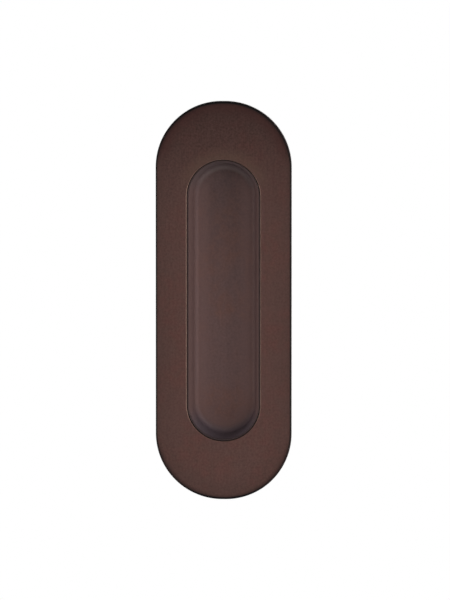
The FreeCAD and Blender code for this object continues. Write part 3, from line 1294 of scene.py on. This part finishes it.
@dataclass
class Studio:
    """The pale floor, the white surroundings and the soft light.

    Attributes:
        floor_height: the floor's height.
        floor_size: its side.
        floor_shade: how pale it is.
        floor_white: how much of the plain white background shows on it.
        level: the strength of the light from all around.
        dark_above: the share of that strength from above.
        above: how steeply up the light begins to fall, and has fallen.
        backdrop: how steeply ahead mirrored rays begin to see the white background, and see it in full.
    """

    floor_height: float = -0.40
    floor_size: float = 2.4
    floor_shade: float = 0.9
    floor_white: float = 0.9
    level: float = 0.45
    dark_above: float = 0.45
    above: tuple[float, float] = (-0.1, 0.6)
    backdrop: tuple[float, float] = (0.4, 0.8)

    def white(self, paint: Paint, mirrored: Wire | float = 1.0) -> Wire:
        """How much of the plain white background a ray sees.

        Args:
            paint: the tree to add to.
            mirrored: the share that mirrored and refracted rays see.

        Returns:
            1 for a camera ray, and the share for a mirrored or refracted one.
        """
        path = paint.node("ShaderNodeLightPath")
        bounced = paint.wire(path, "Is Glossy Ray") + paint.wire(path, "Is Transmission Ray")
        return paint.wire(path, "Is Camera Ray") + bounced * mirrored

    def surroundings(self) -> None:
        """Makes the world: a soft studio, darker above, in front of a white background."""
        world = bpy.data.worlds.new("studio")
        bpy.context.scene.world = world
        world.use_nodes = True
        paint = Paint(world.node_tree)
        direction = paint.node("ShaderNodeTexCoord").outputs["Generated"]
        _, ahead, up = paint.axes(direction)
        studio = self.level * (1 - up.rise(*self.above) * (1 - self.dark_above))
        white = self.white(paint, ahead.rise(*self.backdrop))
        sockets = {"Color": WHITE, "Strength": studio + white * (1 - studio)}
        shader = paint.node("ShaderNodeBackground", sockets=sockets)
        paint.node("ShaderNodeOutputWorld", sockets={0: shader.outputs[0]})

    def floor(self) -> bpy.types.Object:
        """Lays the pale floor, which keeps the shadow.

        Returns:
            The floor.
        """
        material = bpy.data.materials.new("pale_floor")
        material.use_nodes = True
        paint = Paint(material.node_tree)
        shade = (self.floor_shade, self.floor_shade, self.floor_shade, 1.0)
        pale = paint.node("ShaderNodeBsdfDiffuse", sockets={"Color": shade})
        glow = paint.node("ShaderNodeEmission", sockets={"Color": WHITE, "Strength": 1.0})
        share = self.floor_white * self.white(paint)
        sockets = {0: share, 1: pale.outputs[0], 2: glow.outputs[0]}
        mixed = paint.node("ShaderNodeMixShader", sockets=sockets)
        paint.node("ShaderNodeOutputMaterial", sockets={0: mixed.outputs[0]})
        half = self.floor_size / 2
        sides = ((-half, -half), (half, -half), (half, half), (-half, half))
        data = bpy.data.meshes.new("pale_floor")
        data.from_pydata([(x, y, self.floor_height) for x, y in sides], [], [(0, 1, 2, 3)])
        data.materials.append(material)
        floor = bpy.data.objects.new("pale_floor", data)
        bpy.context.scene.collection.objects.link(floor)
        return floor

    def lamps(self) -> list[Softbox]:
        """Chooses the softboxes: one at each side, weaker ones in front and one behind.

        Returns:
            The softboxes.
        """
        return [
            Softbox("right_softbox", azimuth=73, elevation=-7, power=2.8),
            Softbox("left_softbox", azimuth=-70, elevation=-6, power=1.9, size=0.25),
            Softbox("front_softbox", azimuth=36, elevation=14, power=1.5),
            Softbox("low_softbox", azimuth=8, elevation=-22, power=0.4),
            Softbox("back_softbox", azimuth=180, elevation=0, power=1.2),
        ]

    def build(self) -> None:
        """Sets up the studio."""
        bpy.context.scene.view_settings.view_transform = "Standard"
        self.surroundings()
        self.floor()
        for lamp in self.lamps():
            lamp.hang()


@dataclass
class Viewpoint:
    """The camera, nearly straight in front of the pull, a little above it and to the right.

    Attributes:
        azimuth: degrees to the right of straight in front.
        elevation: degrees above the level.
        distance: from the middle of the view to the camera.
        frame_height: the height that the photograph's frame covers at the pull.
        aside: how far right of the pull's middle the middle of the view is.
        above: how far above it.
        sensor: the height of the camera's sensor, in millimetres.
    """

    azimuth: float = 4.0
    elevation: float = 6.0
    distance: float = 4.0
    frame_height: float = 225.0 * MM
    aside: float = 0.49 * MM
    above: float = 0.14 * MM
    sensor: float = 36.0

    def build(self) -> bpy.types.Object:
        """Adds the camera and makes it the scene's.

        Returns:
            The camera.
        """
        target = Vector((self.aside, CAD_BOX[0].y / 2, self.above))
        data = bpy.data.cameras.new("front_camera")
        data.sensor_fit = "VERTICAL"
        data.sensor_width = data.sensor_height = self.sensor
        data.lens = self.sensor * self.distance / self.frame_height
        camera = bpy.data.objects.new("front_camera", data)
        camera.location = target + self.distance * seen_from(self.azimuth, self.elevation)
        aim(camera, target)
        bpy.context.scene.camera = camera
        return camera


def main() -> None:
    """Builds the camera, the studio and the pull."""
    logging.basicConfig(level=logging.INFO, format="%(name)s: %(message)s")
    Viewpoint().build()
    Studio().build()
    recess = Recess()
    makers = [
        PullBody(recess),
        FingerCup(recess),
        WoodScrew("upper_wood_screw"),
        WoodScrew("lower_wood_screw"),
    ]
    for maker in makers:
        piece = maker.build()
        log.info("%s: %d faces", piece.name, len(piece.data.polygons))


if __name__ == "__main__":
    main()
